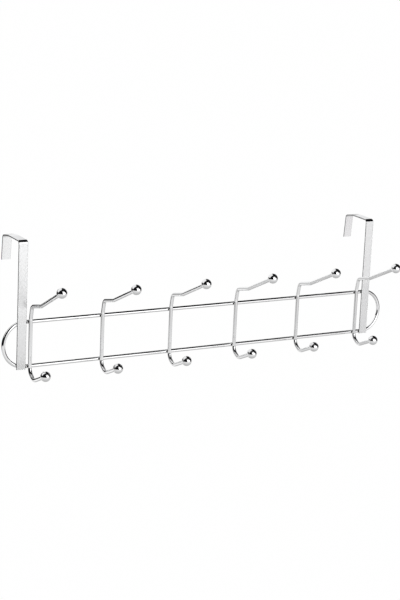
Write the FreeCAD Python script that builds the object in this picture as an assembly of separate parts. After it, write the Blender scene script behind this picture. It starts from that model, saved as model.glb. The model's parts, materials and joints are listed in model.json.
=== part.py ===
import FreeCAD, Part
import math
import os

# Over-door hook rack: two strap brackets, a closed wire frame, six double hooks and their ball ends.
# Millimetres. X runs along the rack to the right, Y points through the door to its far side, Z is up.
# The origin is midway between the brackets, on the door's near face, level with the door's top edge.

V = FreeCAD.Vector
ACROSS = V(1, 0, 0)
THROUGH = V(0, 1, 0)
UP = V(0, 0, 1)

# Round wire, the same gauge for the frame and the hooks
WIRE_DIAMETER = 4.2
WIRE_END_CHAMFER = 0.4

# Frame: one wire bent into a long loop with round ends and lying flat against the door
LOOP_HEIGHT = 50.0
LOOP_DROP = 89.5
LEFT_OVERHANG = 22.5
RIGHT_OVERHANG = 26.5

# Brackets: flat strip folded over the top of the door
BRACKET_SPACING = 470.0
STRAP_WIDTH = 11.0
STRAP_THICKNESS = 1.5
STRAP_EDGE_RADIUS = 0.6
STRAP_BEND_RADIUS = 2.3
STRAP_TAIL = 0.4
DOOR_GAP = 35.5
ARCH_RISE = 2.0
ARCH_PEAK_DEPTH = 23.0
ARCH_RADIUS = 60.0
REAR_LEG_LENGTH = 27.0
REAR_LEG_SPLAY = 2.4

# Welds: how far each crossing is pressed together
WIRE_SET_DOWN = 0.5
STRAP_SET_DOWN = 0.2

# Hooks: evenly spaced between the two brackets, clear of the straps by these gaps
HOOK_COUNT = 6
LEFT_HOOK_GAP = 2.7
RIGHT_HOOK_GAP = 6.7

# Upper half of a hook, from the frame's top wire: a lean, a shoulder, a shallow saddle and the arm
LEAN_HEIGHT = 4.0
LEAN_BEND_RADIUS = 18.0
SHOULDER_HEIGHT = 18.3
SHOULDER_REACH = 2.9
SHOULDER_BEND_RADIUS = 5.5
SADDLE_REACH = 22.0
SADDLE_RISE = 4.6
SADDLE_BEND_RADIUS = 9.0
UPPER_ARM_LENGTH = 52.5
UPPER_ARM_ANGLE = 24.0

# The first arm on the left stands a little steeper than the rest
STEEPER_ARM_ANGLE = 3.0

# Lower half of a hook, from the frame's bottom wire: a curved neck, a heel and the arm
NECK_DROP = 6.0
NECK_BEND_RADIUS = 10.0
HEEL_DROP = 13.4
HEEL_REACH = 10.8
HEEL_BEND_RADIUS = 9.0
LOWER_ARM_LENGTH = 30.2
LOWER_ARM_ANGLE = 22.9

# Balls: pushed over the wire's ends until the wire meets the bottom of a blind hole
BALL_DIAMETER = 11.5
BALL_SEAT_DEPTH = 6.0
BALL_SEAT_CLEARANCE = 0.05

# Places that follow from the sizes above
WIRE_RADIUS = WIRE_DIAMETER / 2
LOOP_Y = -WIRE_RADIUS
LOOP_TOP_Z = -LOOP_DROP
LOOP_BOTTOM_Z = LOOP_TOP_Z - LOOP_HEIGHT
LOOP_END_RADIUS = LOOP_HEIGHT / 2
LOOP_FIRST_X = -BRACKET_SPACING / 2 - LEFT_OVERHANG + WIRE_RADIUS + LOOP_END_RADIUS
LOOP_LAST_X = BRACKET_SPACING / 2 + RIGHT_OVERHANG - WIRE_RADIUS - LOOP_END_RADIUS
STRAP_Y = LOOP_Y - WIRE_RADIUS + STRAP_SET_DOWN - STRAP_THICKNESS / 2
STEM_Y = LOOP_Y - WIRE_DIAMETER + WIRE_SET_DOWN
FIRST_HOOK_X = -BRACKET_SPACING / 2 + STRAP_WIDTH / 2 + LEFT_HOOK_GAP + WIRE_RADIUS
LAST_HOOK_X = BRACKET_SPACING / 2 - STRAP_WIDTH / 2 - RIGHT_HOOK_GAP - WIRE_RADIUS
HOOK_PITCH = (LAST_HOOK_X - FIRST_HOOK_X) / (HOOK_COUNT - 1)


def wire_section(point, along):
    """Round face of the wire, square to its run."""
    return Part.Face(Part.Wire(Part.Circle(point, along, WIRE_RADIUS).toShape()))


def strap_section(point, along):
    """Flat strip's face, square to its run, with its four long edges rounded."""
    normal = along.cross(ACROSS)
    radius = min(STRAP_EDGE_RADIUS, STRAP_THICKNESS * 0.45)
    half_width = STRAP_WIDTH / 2 - radius
    half_thickness = STRAP_THICKNESS / 2 - radius
    edges = []
    ends = []
    for side, face in ((1, 1), (-1, 1), (-1, -1), (1, -1)):
        centre = point + ACROSS * (side * half_width) + normal * (face * half_thickness)
        outwards = (ACROSS * (side * radius), normal * (face * radius))
        first, last = outwards if side == face else outwards[::-1]
        middle = (first + last) * math.sqrt(0.5)
        edges.append(Part.Arc(centre + first, centre + middle, centre + last).toShape())
        ends.append((centre + first, centre + last))
    for (_, last), (first, _) in zip(ends, ends[1:] + ends[:1]):
        edges.append(Part.LineSegment(last, first).toShape())
    return Part.Face(Part.Wire(Part.__sortEdges__(edges)))


def bend_bar(section, corners, radii):
    """Bar of one section, along straight runs that meet at corners and are bent there to the given radii."""
    pieces = []
    start = corners[0]
    for before, corner, after, radius in zip(corners, corners[1:], corners[2:], radii):
        run_in = (corner - before).normalize()
        run_out = (after - corner).normalize()
        turn = run_in.getAngle(run_out)
        shorter = min(corner.distanceToPoint(before), corner.distanceToPoint(after))
        setback = min(radius * math.tan(turn / 2), shorter * 0.48)
        axis = run_in.cross(run_out).normalize()
        bend_start = corner - run_in * setback
        centre = bend_start + axis.cross(run_in) * (setback / math.tan(turn / 2))
        pieces.append(section(start, run_in).extrude(bend_start - start))
        pieces.append(section(bend_start, run_in).revolve(centre, axis, math.degrees(turn)))
        start = corner + run_out * setback
    run_out = (corners[-1] - start).normalize()
    pieces.append(section(start, run_out).extrude(corners[-1] - start))
    return pieces[0].multiFuse(pieces[1:]).removeSplitter().Solids[0]


def make_frame_loop():
    """Closed loop of round wire: two long runs and two half-round ends."""
    pieces = []
    middle_z = (LOOP_TOP_Z + LOOP_BOTTOM_Z) / 2
    runs = (
        (LOOP_FIRST_X, LOOP_LAST_X, LOOP_TOP_Z),
        (LOOP_LAST_X, LOOP_FIRST_X, LOOP_BOTTOM_Z),
    )
    for from_x, to_x, z in runs:
        along = ACROSS * math.copysign(1, to_x - from_x)
        start = V(from_x, LOOP_Y, z)
        end = V(to_x, LOOP_Y, z)
        pieces.append(wire_section(start, along).extrude(end - start))
        pieces.append(wire_section(end, along).revolve(V(to_x, LOOP_Y, middle_z), THROUGH, 180))
    return pieces[0].multiFuse(pieces[1:]).removeSplitter().Solids[0]


def make_bracket(x, loop):
    """Strip folded over the door: long front leg, arched top and short splayed rear leg, on the loop's wires."""
    half = STRAP_THICKNESS / 2
    foot_z = LOOP_BOTTOM_Z - WIRE_RADIUS - STRAP_TAIL
    rear_y = DOOR_GAP + half
    corners = [
        V(x, STRAP_Y, foot_z),
        V(x, STRAP_Y, half),
        V(x, ARCH_PEAK_DEPTH, half + ARCH_RISE),
        V(x, rear_y, half),
        V(x, rear_y + REAR_LEG_SPLAY, -REAR_LEG_LENGTH),
    ]
    bend = STRAP_BEND_RADIUS + half
    return bend_bar(strap_section, corners, [bend, ARCH_RADIUS, bend]).cut(loop)


def slope(degrees):
    """Direction away from the door and upwards, at this angle to the level."""
    angle = math.radians(degrees)
    return V(0, -math.cos(angle), math.sin(angle))


def hook_corners(x, upper_angle):
    """Corners of one double hook's wire, from the lower ball's centre to the upper ball's."""
    heel = V(x, STEM_Y - HEEL_REACH, LOOP_BOTTOM_Z - HEEL_DROP)
    shoulder = V(x, STEM_Y - SHOULDER_REACH, LOOP_TOP_Z + SHOULDER_HEIGHT)
    saddle = shoulder + V(0, -SADDLE_REACH, SADDLE_RISE)
    return [
        heel + slope(LOWER_ARM_ANGLE) * LOWER_ARM_LENGTH,
        heel,
        V(x, STEM_Y, LOOP_BOTTOM_Z - NECK_DROP),
        V(x, STEM_Y, LOOP_TOP_Z + LEAN_HEIGHT),
        shoulder,
        saddle,
        saddle + slope(upper_angle) * UPPER_ARM_LENGTH,
    ]


def make_hook_wire(corners, loop):
    """One bent wire, notched where it is welded across the loop, its ends reaching the bottoms of the balls' holes."""
    past_centre = BALL_SEAT_DEPTH - BALL_DIAMETER / 2
    ends = []
    for ball, arm_start in ((corners[0], corners[1]), (corners[-1], corners[-2])):
        ends.append(ball + (ball - arm_start).normalize() * past_centre)
    path = [ends[0]] + corners[1:-1] + [ends[1]]
    radii = [HEEL_BEND_RADIUS, NECK_BEND_RADIUS, LEAN_BEND_RADIUS, SHOULDER_BEND_RADIUS, SADDLE_BEND_RADIUS]
    wire = bend_bar(wire_section, path, radii)
    rims = [e for e in wire.Edges if min(e.CenterOfMass.distanceToPoint(end) for end in ends) < 0.001]
    return wire.makeChamfer(WIRE_END_CHAMFER, rims).cut(loop)


def make_ball(centre, arm_start):
    """Ball with a blind hole that faces back along its arm."""
    arm = (centre - arm_start).normalize()
    mouth = centre - arm * (BALL_DIAMETER / 2)
    hole = Part.makeCylinder(WIRE_RADIUS + BALL_SEAT_CLEARANCE, BALL_SEAT_DEPTH, mouth, arm)
    return Part.makeSphere(BALL_DIAMETER / 2, centre).cut(hole)


def make_nodes():
    """Every piece of the rack by name."""
    loop = make_frame_loop()
    nodes = {"frame_loop": loop}
    nodes["door_bracket_left"] = make_bracket(-BRACKET_SPACING / 2, loop)
    nodes["door_bracket_right"] = make_bracket(BRACKET_SPACING / 2, loop)
    for index in range(HOOK_COUNT):
        steeper = STEEPER_ARM_ANGLE if index == 0 else 0
        corners = hook_corners(FIRST_HOOK_X + index * HOOK_PITCH, UPPER_ARM_ANGLE + steeper)
        number = index + 1
        nodes[f"hook_wire_{number}"] = make_hook_wire(corners, loop)
        nodes[f"lower_ball_{number}"] = make_ball(corners[0], corners[1])
        nodes[f"upper_ball_{number}"] = make_ball(corners[-1], corners[-2])
    return nodes


def main():
    """Writes one file for each piece."""
    os.makedirs("parts", exist_ok=True)
    for name, shape in make_nodes().items():
        shape.exportStep(f"parts/{name}.step")


main()
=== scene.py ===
import json
import math

import bmesh
import bpy
from mathutils import Matrix, Vector, noise


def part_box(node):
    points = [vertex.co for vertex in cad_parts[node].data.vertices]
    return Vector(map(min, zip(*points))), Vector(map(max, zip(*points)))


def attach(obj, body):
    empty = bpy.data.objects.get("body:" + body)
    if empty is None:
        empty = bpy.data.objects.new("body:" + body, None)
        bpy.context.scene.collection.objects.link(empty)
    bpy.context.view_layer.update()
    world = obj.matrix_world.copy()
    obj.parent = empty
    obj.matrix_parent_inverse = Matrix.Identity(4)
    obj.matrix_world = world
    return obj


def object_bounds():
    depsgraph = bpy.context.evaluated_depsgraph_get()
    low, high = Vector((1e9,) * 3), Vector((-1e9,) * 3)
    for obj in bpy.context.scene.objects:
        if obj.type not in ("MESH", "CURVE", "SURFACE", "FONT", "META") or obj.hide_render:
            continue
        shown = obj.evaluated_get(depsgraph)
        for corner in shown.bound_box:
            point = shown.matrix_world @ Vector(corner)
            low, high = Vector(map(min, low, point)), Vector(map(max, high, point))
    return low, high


# Over-door hook rack in bright chrome, lit as in a white studio. Metres and radians, in the rack's own frame.

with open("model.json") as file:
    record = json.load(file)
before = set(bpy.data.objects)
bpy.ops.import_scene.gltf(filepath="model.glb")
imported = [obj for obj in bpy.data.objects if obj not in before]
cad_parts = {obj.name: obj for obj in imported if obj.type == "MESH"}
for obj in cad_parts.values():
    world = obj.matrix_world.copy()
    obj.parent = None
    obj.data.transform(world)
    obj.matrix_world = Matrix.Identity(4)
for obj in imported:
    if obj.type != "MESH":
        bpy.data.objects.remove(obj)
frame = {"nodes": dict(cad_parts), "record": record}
cad_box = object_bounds()

# Camera, at the photograph's angle: it stands in front, to the left and a little above
CAMERA_PLACE = Vector((-0.9738, -1.5243, 0.3041))
CAMERA_YAW = math.radians(32.466)
CAMERA_PITCH = math.radians(12.084)
CAMERA_ROLL = math.radians(2.559)
CAMERA_LENS = 95.19
CAMERA_SENSOR = 36.0
CAMERA_NEAREST = 0.01
CAMERA_FARTHEST = 500.0

# Colours
WHITE = (1.0, 1.0, 1.0, 1.0)
BLACK = (0.0, 0.0, 0.0, 1.0)
DARK_ROOM = (0.006, 0.006, 0.007, 1.0)
OVERHEAD_LIGHT = (0.94, 0.94, 0.945, 1.0)
GREY_WALL = (0.70, 0.70, 0.71, 1.0)
FLOOR_PAINT = (0.95, 0.95, 0.95, 1.0)
FAR_TABLE_TINT = (1.0, 0.93, 0.97, 1.0)
COOL_CHROME = (0.875, 0.88, 0.89, 1.0)
WARM_CHROME = (0.905, 0.905, 0.90, 1.0)
# Painted shade: the dark tint of the straps' sheared sides
PAINTED_SIDE_SHADE = (0.28, 0.28, 0.28, 1.0)
# Painted shade: the dark beads where pieces cross, with paler flecks
PAINTED_CROSSING_SHADE = (0.05, 0.048, 0.046, 1.0)
PALE_FLECK = (0.22, 0.21, 0.20, 1.0)

# World that the chrome mirrors, by turn from the front, positive to the right, and by rise from the level.
# A pair is where a smooth change begins and ends, or the two sides of a patch whose softness follows.
HORIZON_Z = (-0.012, 0.012)

# Overhead light: a large sheet to the left and behind, drawn on a ceiling one unit up
SHEET_LOWEST_Z = 0.02
SHEET_FRONT_SLOPE = 0.258
SHEET_FRONT = (-0.205, 0.045)
SHEET_RIGHT_DEPTH = 0.194
SHEET_RIGHT_SLOPE = 0.56
SHEET_RIGHT = (-0.16, 0.16)
SHEET_LEFT = (-3.5, -3.3)

# Pale wall behind on the right, grey where it begins
WALL_TURN = (1.95, 2.15)
WALL_RISE = (0.078, 0.32)
WALL_SOFTNESS = 0.08
WALL_LIGHT_TURN = (2.25, 2.45)

# Pale table: its basic light, and how the light changes along each axis and towards the horizon
TABLE_LIGHT = 0.797
TABLE_SLOPES = (-0.0501, -0.1297, 0.244)
TABLE_FAR_RISE = (-0.35, 0.0)
TABLE_FAR_GAIN = 0.08

# Brighter stretch of the table, behind on the left
LIT_TURN = (-2.87, -2.51)
LIT_TURN_SOFTNESS = 0.11
LIT_RISE = (-0.85, -0.28)
LIT_RISE_SOFTNESS = 0.08
LIT_GAIN = 0.45

# Where the table ends on the left and on the right: the turns, their softness and the rise of its edge
TABLE_ENDS = (
    ((-2.164, 0.003), 0.12, (-0.262, -0.142)),
    ((0.987, 2.208), 0.03, (-0.265, -0.145)),
)

# Cards: upright panels that only the chrome's reflections show. An outline is in X and Z.
# The light is a list of heights, or of places along the width, each with the light there.
SOFTBOX_Y = -0.95
BACKDROP_Y = 0.25
CARD_RIGHT = 1.24
SOFTBOX_BOTTOM = -0.191
SOFTBOX_SIDE_TOP = 0.38
SOFTBOX_TOP = 0.90
TABLE_MIDDLE = -0.37
TABLE_NEAR = -0.60
EVEN_LIGHT = ((0.0, 1.0), (1.0, 1.0))
CARDS = {
    "front_softbox": {
        "y": SOFTBOX_Y,
        "outline": [(-0.196, SOFTBOX_BOTTOM), (CARD_RIGHT, SOFTBOX_BOTTOM), (CARD_RIGHT, SOFTBOX_SIDE_TOP),
                    (0.54, SOFTBOX_SIDE_TOP), (0.42, SOFTBOX_TOP), (-0.51, SOFTBOX_TOP)],
        "by_height": [(SOFTBOX_BOTTOM, 1.05), (-0.10, 2.35), (0.12, 2.35), (0.32, 1.15)],
        "by_width": [(0.35, 1.0), (0.95, 0.64)],
    },
    "far_table": {
        "y": SOFTBOX_Y,
        "outline": [(-0.198, TABLE_MIDDLE), (CARD_RIGHT, TABLE_MIDDLE), (CARD_RIGHT, SOFTBOX_BOTTOM),
                    (-0.196, SOFTBOX_BOTTOM)],
        "by_height": [(-0.335, 0.74), (-0.295, 0.94), (SOFTBOX_BOTTOM, 1.05)],
        "by_width": [(0.35, 1.0), (0.95, 0.74)],
        "tint": FAR_TABLE_TINT,
    },
    "near_table": {
        "y": SOFTBOX_Y,
        "outline": [(-0.20, TABLE_NEAR), (CARD_RIGHT, TABLE_NEAR), (CARD_RIGHT, TABLE_MIDDLE),
                    (-0.198, TABLE_MIDDLE)],
        "by_height": [(TABLE_NEAR, 0.84), (-0.46, 1.15), (-0.43, 1.10), (TABLE_MIDDLE, 0.74)],
    },
    "dark_end": {
        "y": BACKDROP_Y,
        "outline": [(-0.75, -0.26), (-0.41, -0.26), (-0.38, -0.21), (-0.30, -0.175), (-0.25, -0.16),
                    (-0.205, -0.12), (-0.155, -0.07), (-0.115, -0.03), (-0.12, -0.018), (-0.165, -0.012),
                    (-0.16, 0.045), (-0.75, 0.045)],
        "by_height": [(0.0, 0.01)],
    },
}

# Floor: how far it lies below the rack and reaches to each side, and how white it looks to the camera
FLOOR_DROP = 0.75
FLOOR_HALF_SIZE = 60.0
FLOOR_WHITENESS = 0.95

# Noises: scale, detail and roughness
GRAIN_NOISE = (1.0, 4.0, 0.6)
CLOUD_NOISE = (55.0, 3.0, 0.5)
RIPPLE_NOISE = (260.0, 1.0, 0.4)
FLECK_NOISE = (1400.0, 3.0, 0.6)

# Chrome plate: drawing lines along the wire or strip, a slight ripple, and haze that lines and clouds add to
LINES_ALONG_X = (60.0, 2200.0, 2200.0)
LINES_ALONG_Z = (2200.0, 2200.0, 60.0)
EVEN_GRAIN = (900.0, 900.0, 900.0)
CHROMES = {
    "frame_wire": {"grain": LINES_ALONG_X, "grain_depth": 0.0000012, "ripple_depth": 0.000004, "haze": 0.015},
    "hook_wire": {"grain": LINES_ALONG_Z, "grain_depth": 0.0000012, "ripple_depth": 0.000004, "haze": 0.015},
    "strap": {"grain": LINES_ALONG_Z, "grain_depth": 0.000002, "ripple_depth": 0.000006, "haze": 0.05},
    "ball": {"grain": EVEN_GRAIN, "grain_depth": 0.0000006, "ripple_depth": 0.000003, "haze": 0.015},
}
GRAIN_RANGE = (0.35, 0.75)
GRAIN_HAZE = 0.03
CLOUD_RANGE = (0.45, 0.70)
CLOUD_HAZE = 0.02

# Straps' legs: their haze, the depths where front goes over to rear, and the heights where the haze ends
FRONT_LEG_HAZE = 0.50
REAR_LEG_HAZE = 0.22
LEG_BACK_Y = (0.005, 0.030)
LEG_TOP_Z = (-0.0022, -0.0006)

# Straps' lower legs: the heights below which they are slightly darker, as painted shade, and their tone there
LOWER_LEG_Z = (-0.086, -0.070)
PAINTED_LEG_SHADE = 0.92

# Straps' sheared sides: how squarely a face has to point along the rack to have their dark tint, which is
# painted shade
SIDE_FACING = (0.3, 0.8)

# Dark bead metal, painted shade at the crossings: fleck values over which tint and dullness change, then the
# dullness and the flecks' depth
FLECK_TINT_RANGE = (0.45, 0.70)
FLECK_DULL_RANGE = (0.30, 0.70)
FLECK_DULLNESS = (0.55, 0.35)
FLECK_DEPTH = 0.00004

# Dark beads, painted shade at the crossings: half-sizes along X, Y and Z, and how far they lie behind the
# wires' fronts
HOOK_BEAD = (0.0029, 0.0008, 0.0019)
STRAP_BEAD = (0.0014, 0.0007, 0.0016)
BEAD_DEPTH = 0.0001

# Lumps on the beads, large and then small: their scale, their share and the scale at which beads differ
BEAD_LUMPS = ((1.7, 1.0, 400.0), (4.0, 0.5, 900.0))
BEAD_ROUGHNESS = 0.16

# Places of the sockets of a Mix node for colours
MIX_FACTOR = 0
MIX_FIRST = 6
MIX_SECOND = 7
MIX_RESULT = 2


def new_material(name):
    """Empty node material and its node tree."""
    material = bpy.data.materials.new(name)
    material.use_nodes = True
    material.node_tree.nodes.clear()
    return material, material.node_tree


def feed(tree, socket, value):
    """Gives a node's input a plain value, or links another node's output to it."""
    if isinstance(value, bpy.types.NodeSocket):
        tree.links.new(value, socket)
    else:
        socket.default_value = value


def add(tree, kind, **values):
    """Node with its settings; a key that isn't a setting names an input, with underscores for spaces."""
    node = tree.nodes.new(kind)
    for key, value in values.items():
        if hasattr(node, key):
            setattr(node, key, value)
        else:
            feed(tree, node.inputs[key.replace("_", " ")], value)
    return node


def maths(tree, operation, *values):
    """Output of a Math node on numbers or sockets."""
    node = add(tree, "ShaderNodeMath", operation=operation)
    for socket, value in zip(node.inputs, values):
        feed(tree, socket, value)
    return node.outputs[0]


def product(tree, first, *others):
    """Numbers or sockets multiplied together."""
    for other in others:
        first = maths(tree, "MULTIPLY", first, other)
    return first


def ramp(tree, value, low, high, at_low=0.0, at_high=1.0):
    """Smooth change from at_low to at_high as the value goes from low to high."""
    node = add(tree, "ShaderNodeMapRange", interpolation_type="SMOOTHSTEP", Value=value,
               From_Min=low, From_Max=high, To_Min=at_low, To_Max=at_high)
    return node.outputs["Result"]


def window(tree, value, low, high, soft):
    """One while the value is between low and high, with soft edges on both sides."""
    rising = ramp(tree, value, low - soft, low + soft)
    return product(tree, rising, ramp(tree, value, high + soft, high - soft))


def stepped(tree, value, stops):
    """Brightness that goes smoothly from stop to stop as the value rises."""
    light = stops[0][1]
    for (low, first), (high, second) in zip(stops, stops[1:]):
        light = maths(tree, "ADD", ramp(tree, value, low, high, 0.0, second - first), light)
    return light


def mottle(tree, place, scale, detail, roughness):
    """Smooth random values over the place."""
    node = add(tree, "ShaderNodeTexNoise", Vector=place, Scale=scale, Detail=detail, Roughness=roughness)
    return node.outputs["Fac"]


def blend_colours(tree, factor, first, second):
    """Mix of two colours, each a socket or four numbers."""
    node = add(tree, "ShaderNodeMix", data_type="RGBA")
    for place, value in ((MIX_FACTOR, factor), (MIX_FIRST, first), (MIX_SECOND, second)):
        feed(tree, node.inputs[place], value)
    return node.outputs[MIX_RESULT]


def mirrored_sky(tree, x, y, z, turn, rise):
    """Colours above the horizon: a dark room with the overhead sheet of light and the pale wall."""
    height = maths(tree, "MAXIMUM", z, SHEET_LOWEST_Z)
    across = maths(tree, "DIVIDE", x, height)
    depth = maths(tree, "DIVIDE", y, height)
    front = ramp(tree, maths(tree, "MULTIPLY_ADD", across, SHEET_FRONT_SLOPE, depth), *SHEET_FRONT)
    slant = product(tree, maths(tree, "SUBTRACT", depth, SHEET_RIGHT_DEPTH), SHEET_RIGHT_SLOPE)
    right = ramp(tree, maths(tree, "SUBTRACT", slant, across), *SHEET_RIGHT)
    sheet = product(tree, front, right, ramp(tree, across, *SHEET_LEFT))
    sky = blend_colours(tree, sheet, DARK_ROOM, OVERHEAD_LIGHT)
    wall = blend_colours(tree, ramp(tree, turn, *WALL_LIGHT_TURN), GREY_WALL, OVERHEAD_LIGHT)
    patch = product(tree, ramp(tree, turn, *WALL_TURN), window(tree, rise, *WALL_RISE, WALL_SOFTNESS))
    return blend_colours(tree, patch, sky, wall)


def mirrored_table(tree, x, y, z, turn, rise):
    """Colours below the horizon: the pale table, and the dark room beyond where it ends."""
    light = TABLE_LIGHT
    for part, slope in zip((x, y, z), TABLE_SLOPES):
        light = maths(tree, "MULTIPLY_ADD", part, slope, light)
    light = maths(tree, "ADD", light, ramp(tree, rise, *TABLE_FAR_RISE, 0.0, TABLE_FAR_GAIN))
    lit_turn = window(tree, turn, *LIT_TURN, LIT_TURN_SOFTNESS)
    lit = product(tree, lit_turn, window(tree, rise, *LIT_RISE, LIT_RISE_SOFTNESS))
    light = maths(tree, "MULTIPLY_ADD", lit, LIT_GAIN, light)
    table = add(tree, "ShaderNodeCombineColor", Red=light, Green=light, Blue=light).outputs[0]
    beyond = 0.0
    for turns, softness, rises in TABLE_ENDS:
        end = product(tree, window(tree, turn, *turns, softness), ramp(tree, rise, *rises))
        beyond = maths(tree, "MAXIMUM", beyond, end)
    return blend_colours(tree, beyond, table, DARK_ROOM)


def make_world():
    """White for the camera and for shading; for reflections, a dark room with lights and a pale table."""
    world = bpy.data.worlds.new("studio")
    bpy.context.scene.world = world
    world.use_nodes = True
    world.cycles.sampling_method = "NONE"
    tree = world.node_tree
    tree.nodes.clear()
    direction = add(tree, "ShaderNodeTexCoord").outputs["Generated"]
    x, y, z = add(tree, "ShaderNodeSeparateXYZ", Vector=direction).outputs
    turn = maths(tree, "ARCTAN2", x, product(tree, y, -1.0))
    rise = maths(tree, "ARCSINE", z)
    lower = mirrored_table(tree, x, y, z, turn, rise)
    upper = mirrored_sky(tree, x, y, z, turn, rise)
    room = blend_colours(tree, ramp(tree, z, *HORIZON_Z), lower, upper)
    rays = add(tree, "ShaderNodeLightPath").outputs
    mirrored = maths(tree, "MAXIMUM", rays["Is Glossy Ray"], rays["Is Transmission Ray"])
    colour = blend_colours(tree, mirrored, WHITE, room)
    background = add(tree, "ShaderNodeBackground", Color=colour, Strength=1.0)
    add(tree, "ShaderNodeOutputWorld", Surface=background.outputs[0])


def make_panel(name, corners, material):
    """Flat panel through the corners."""
    mesh = bpy.data.meshes.new(name)
    mesh.from_pydata(corners, [], [list(range(len(corners)))])
    mesh.materials.append(material)
    panel = bpy.data.objects.new(name, mesh)
    bpy.context.collection.objects.link(panel)
    return panel


def make_card(name, y, outline, by_height, by_width=EVEN_LIGHT, tint=WHITE):
    """Upright glowing panel that only the chrome's reflections show; the tint comes in along its width."""
    material, tree = new_material(name)
    place = add(tree, "ShaderNodeTexCoord").outputs["Object"]
    across, _, up = add(tree, "ShaderNodeSeparateXYZ", Vector=place).outputs
    light = product(tree, stepped(tree, up, by_height), stepped(tree, across, by_width))
    colour = blend_colours(tree, ramp(tree, across, by_width[0][0], by_width[-1][0]), WHITE, tint)
    glow = add(tree, "ShaderNodeEmission", Color=colour, Strength=light)
    add(tree, "ShaderNodeOutputMaterial", Surface=glow.outputs[0])
    material.cycles.emission_sampling = "NONE"
    card = make_panel(name, [(x, y, z) for x, z in outline], material)
    card.visible_camera = False
    card.visible_diffuse = False
    card.visible_shadow = False


def make_cards():
    """Softbox in front on the right with the lit table below it, and a dark end behind on the left."""
    for name, settings in CARDS.items():
        make_card(name, **settings)


def make_floor():
    """Wide pale floor well below the rack, nearly white to the camera but still shaded."""
    material, tree = new_material("pale_floor")
    paint = add(tree, "ShaderNodeBsdfDiffuse", Color=FLOOR_PAINT)
    white = add(tree, "ShaderNodeEmission", Color=WHITE, Strength=1.0)
    seen = add(tree, "ShaderNodeLightPath").outputs["Is Camera Ray"]
    share = product(tree, seen, FLOOR_WHITENESS)
    mix = add(tree, "ShaderNodeMixShader")
    for socket, value in zip(mix.inputs, (share, paint.outputs[0], white.outputs[0])):
        feed(tree, socket, value)
    add(tree, "ShaderNodeOutputMaterial", Surface=mix.outputs[0])
    side = FLOOR_HALF_SIZE
    level = cad_box[0].z - FLOOR_DROP
    corners = [(x, y, level) for x, y in ((-side, -side), (side, -side), (side, side), (-side, side))]
    floor = make_panel("floor", corners, material)
    floor.visible_glossy = False


def finish_metal(tree, tint, roughness, bump):
    """Ends a material's tree in bare metal."""
    shader = add(tree, "ShaderNodeBsdfPrincipled", Base_Color=tint, Metallic=1.0, Roughness=roughness,
                 Normal=bump.outputs[0])
    add(tree, "ShaderNodeOutputMaterial", Surface=shader.outputs[0])


def dull_strap(tree, place, tint, polish, haze):
    """Tint and polish of a strap, from those of plain chrome: painted shade on the sides and on the lower
    legs, and hazy legs.
    """
    facing = add(tree, "ShaderNodeTexCoord").outputs["Normal"]
    sideways = maths(tree, "ABSOLUTE", add(tree, "ShaderNodeSeparateXYZ", Vector=facing).outputs["X"])
    # Painted shade: faces that point along the rack are tinted dark
    tint = blend_colours(tree, ramp(tree, sideways, *SIDE_FACING), tint, PAINTED_SIDE_SHADE)
    _, y, z = add(tree, "ShaderNodeSeparateXYZ", Vector=place).outputs
    # Painted shade: the lower legs are darkened a little
    tint = blend_colours(tree, ramp(tree, z, *LOWER_LEG_Z, PAINTED_LEG_SHADE, 1.0), BLACK, tint)
    more_haze = ramp(tree, y, *LEG_BACK_Y, FRONT_LEG_HAZE - haze, REAR_LEG_HAZE - haze)
    on_leg = ramp(tree, z, *LEG_TOP_Z, 1.0, 0.0)
    return tint, maths(tree, "MULTIPLY_ADD", more_haze, on_leg, polish)


def make_chrome(slot, grain, grain_depth, ripple_depth, haze):
    """Chrome plate over steel: faint drawing lines, a slight ripple and an uneven polish."""
    material, tree = new_material(f"chrome_{slot}")
    place = add(tree, "ShaderNodeTexCoord").outputs["Object"]
    stretched = add(tree, "ShaderNodeMapping", Vector=place, Scale=grain).outputs[0]
    lines = mottle(tree, stretched, *GRAIN_NOISE)
    cloud = mottle(tree, place, *CLOUD_NOISE)
    ripple = mottle(tree, place, *RIPPLE_NOISE)
    tint = blend_colours(tree, cloud, COOL_CHROME, WARM_CHROME)
    polish = maths(tree, "ADD", ramp(tree, lines, *GRAIN_RANGE, haze, haze + GRAIN_HAZE),
                   ramp(tree, cloud, *CLOUD_RANGE, 0.0, CLOUD_HAZE))
    if slot == "strap":
        tint, polish = dull_strap(tree, place, tint, polish, haze)
    low = add(tree, "ShaderNodeBump", Height=ripple, Strength=1.0, Distance=ripple_depth)
    fine = add(tree, "ShaderNodeBump", Height=lines, Strength=1.0, Distance=grain_depth,
               Normal=low.outputs[0])
    finish_metal(tree, tint, polish, fine)
    return material


def dress():
    """Gives each piece of the rack its chrome."""
    chromes = {slot: make_chrome(slot, **settings) for slot, settings in CHROMES.items()}
    for entry in frame["record"]["subparts"]:
        node = frame["nodes"][entry["node"]]
        for slot in node.material_slots:
            slot.material = chromes[entry["material_slot"]]


def make_crossing_shade_metal():
    """Dull dark metal with paler flecks: painted shade on the beads where pieces cross."""
    material, tree = new_material("painted_crossing_shade")
    place = add(tree, "ShaderNodeTexCoord").outputs["Object"]
    fleck = mottle(tree, place, *FLECK_NOISE)
    tint = blend_colours(tree, ramp(tree, fleck, *FLECK_TINT_RANGE), PAINTED_CROSSING_SHADE, PALE_FLECK)
    dull = ramp(tree, fleck, *FLECK_DULL_RANGE, *FLECK_DULLNESS)
    rough = add(tree, "ShaderNodeBump", Height=fleck, Strength=1.0, Distance=FLECK_DEPTH)
    finish_metal(tree, tint, dull, rough)
    return material


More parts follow.
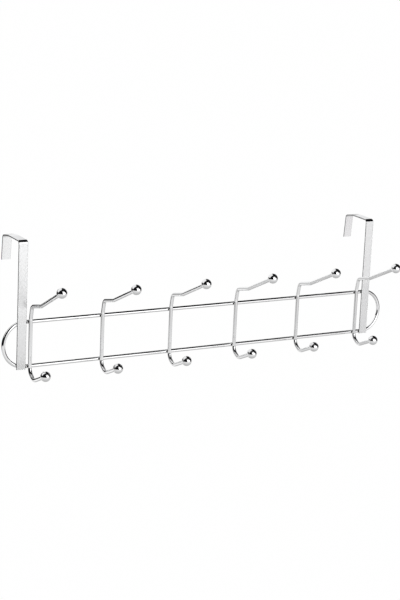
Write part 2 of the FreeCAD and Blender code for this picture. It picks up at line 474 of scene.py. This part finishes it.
def make_bead(name, centre, half_sizes, material):
    """Small lump where two pieces cross, which carries the painted shade there."""
    body = bmesh.new()
    bmesh.ops.create_icosphere(body, subdivisions=3, radius=1.0)
    for corner in body.verts:
        lump = 0.0
        for scale, share, bead_scale in BEAD_LUMPS:
            lump += share * noise.noise(corner.co * scale + centre * bead_scale)
        swell = 1.0 + BEAD_ROUGHNESS * lump
        corner.co = Vector([part * half * swell for part, half in zip(corner.co, half_sizes)]) + centre
    mesh = bpy.data.meshes.new(name)
    body.to_mesh(mesh)
    body.free()
    mesh.polygons.foreach_set("use_smooth", [True] * len(mesh.polygons))
    mesh.materials.append(material)
    bead = bpy.data.objects.new(name, mesh)
    bpy.context.collection.objects.link(bead)
    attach(bead, "root")


def make_beads():
    """Dark beads of painted shade where the hooks cross the two long wires, and on each bracket's side
    towards the hooks.
    """
    shade_metal = make_crossing_shade_metal()
    low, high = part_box("frame_loop")
    radius = (high.y - low.y) / 2
    heights = {"top": high.z - radius, "bottom": low.z + radius}
    front = low.y + BEAD_DEPTH
    for level, z in heights.items():
        for node in sorted(frame["nodes"]):
            left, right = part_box(node)
            if node.startswith("hook_wire_"):
                place = Vector(((left.x + right.x) / 2, front, z))
                make_bead(f"shade_bead_{level}_{node}", place, HOOK_BEAD, shade_metal)
            if node.startswith("door_bracket_"):
                inner = min(left.x, right.x, key=abs)
                make_bead(f"shade_bead_{level}_{node}", Vector((inner, front, z)), STRAP_BEAD, shade_metal)


def make_camera():
    """Camera turned right by the yaw, tipped down by the pitch and rolled."""
    data = bpy.data.cameras.new("camera")
    data.sensor_width = CAMERA_SENSOR
    data.lens = CAMERA_LENS
    data.clip_start = CAMERA_NEAREST
    data.clip_end = CAMERA_FARTHEST
    camera = bpy.data.objects.new("camera", data)
    bpy.context.collection.objects.link(camera)
    turn = Matrix.Rotation(-CAMERA_YAW, 4, "Z") @ Matrix.Rotation(math.pi / 2 - CAMERA_PITCH, 4, "X")
    camera.matrix_world = Matrix.Translation(CAMERA_PLACE) @ turn @ Matrix.Rotation(CAMERA_ROLL, 4, "Z")
    bpy.context.scene.camera = camera


make_world()
make_cards()
make_floor()
dress()
make_beads()
make_camera()
bpy.context.scene.view_settings.view_transform = "Standard"
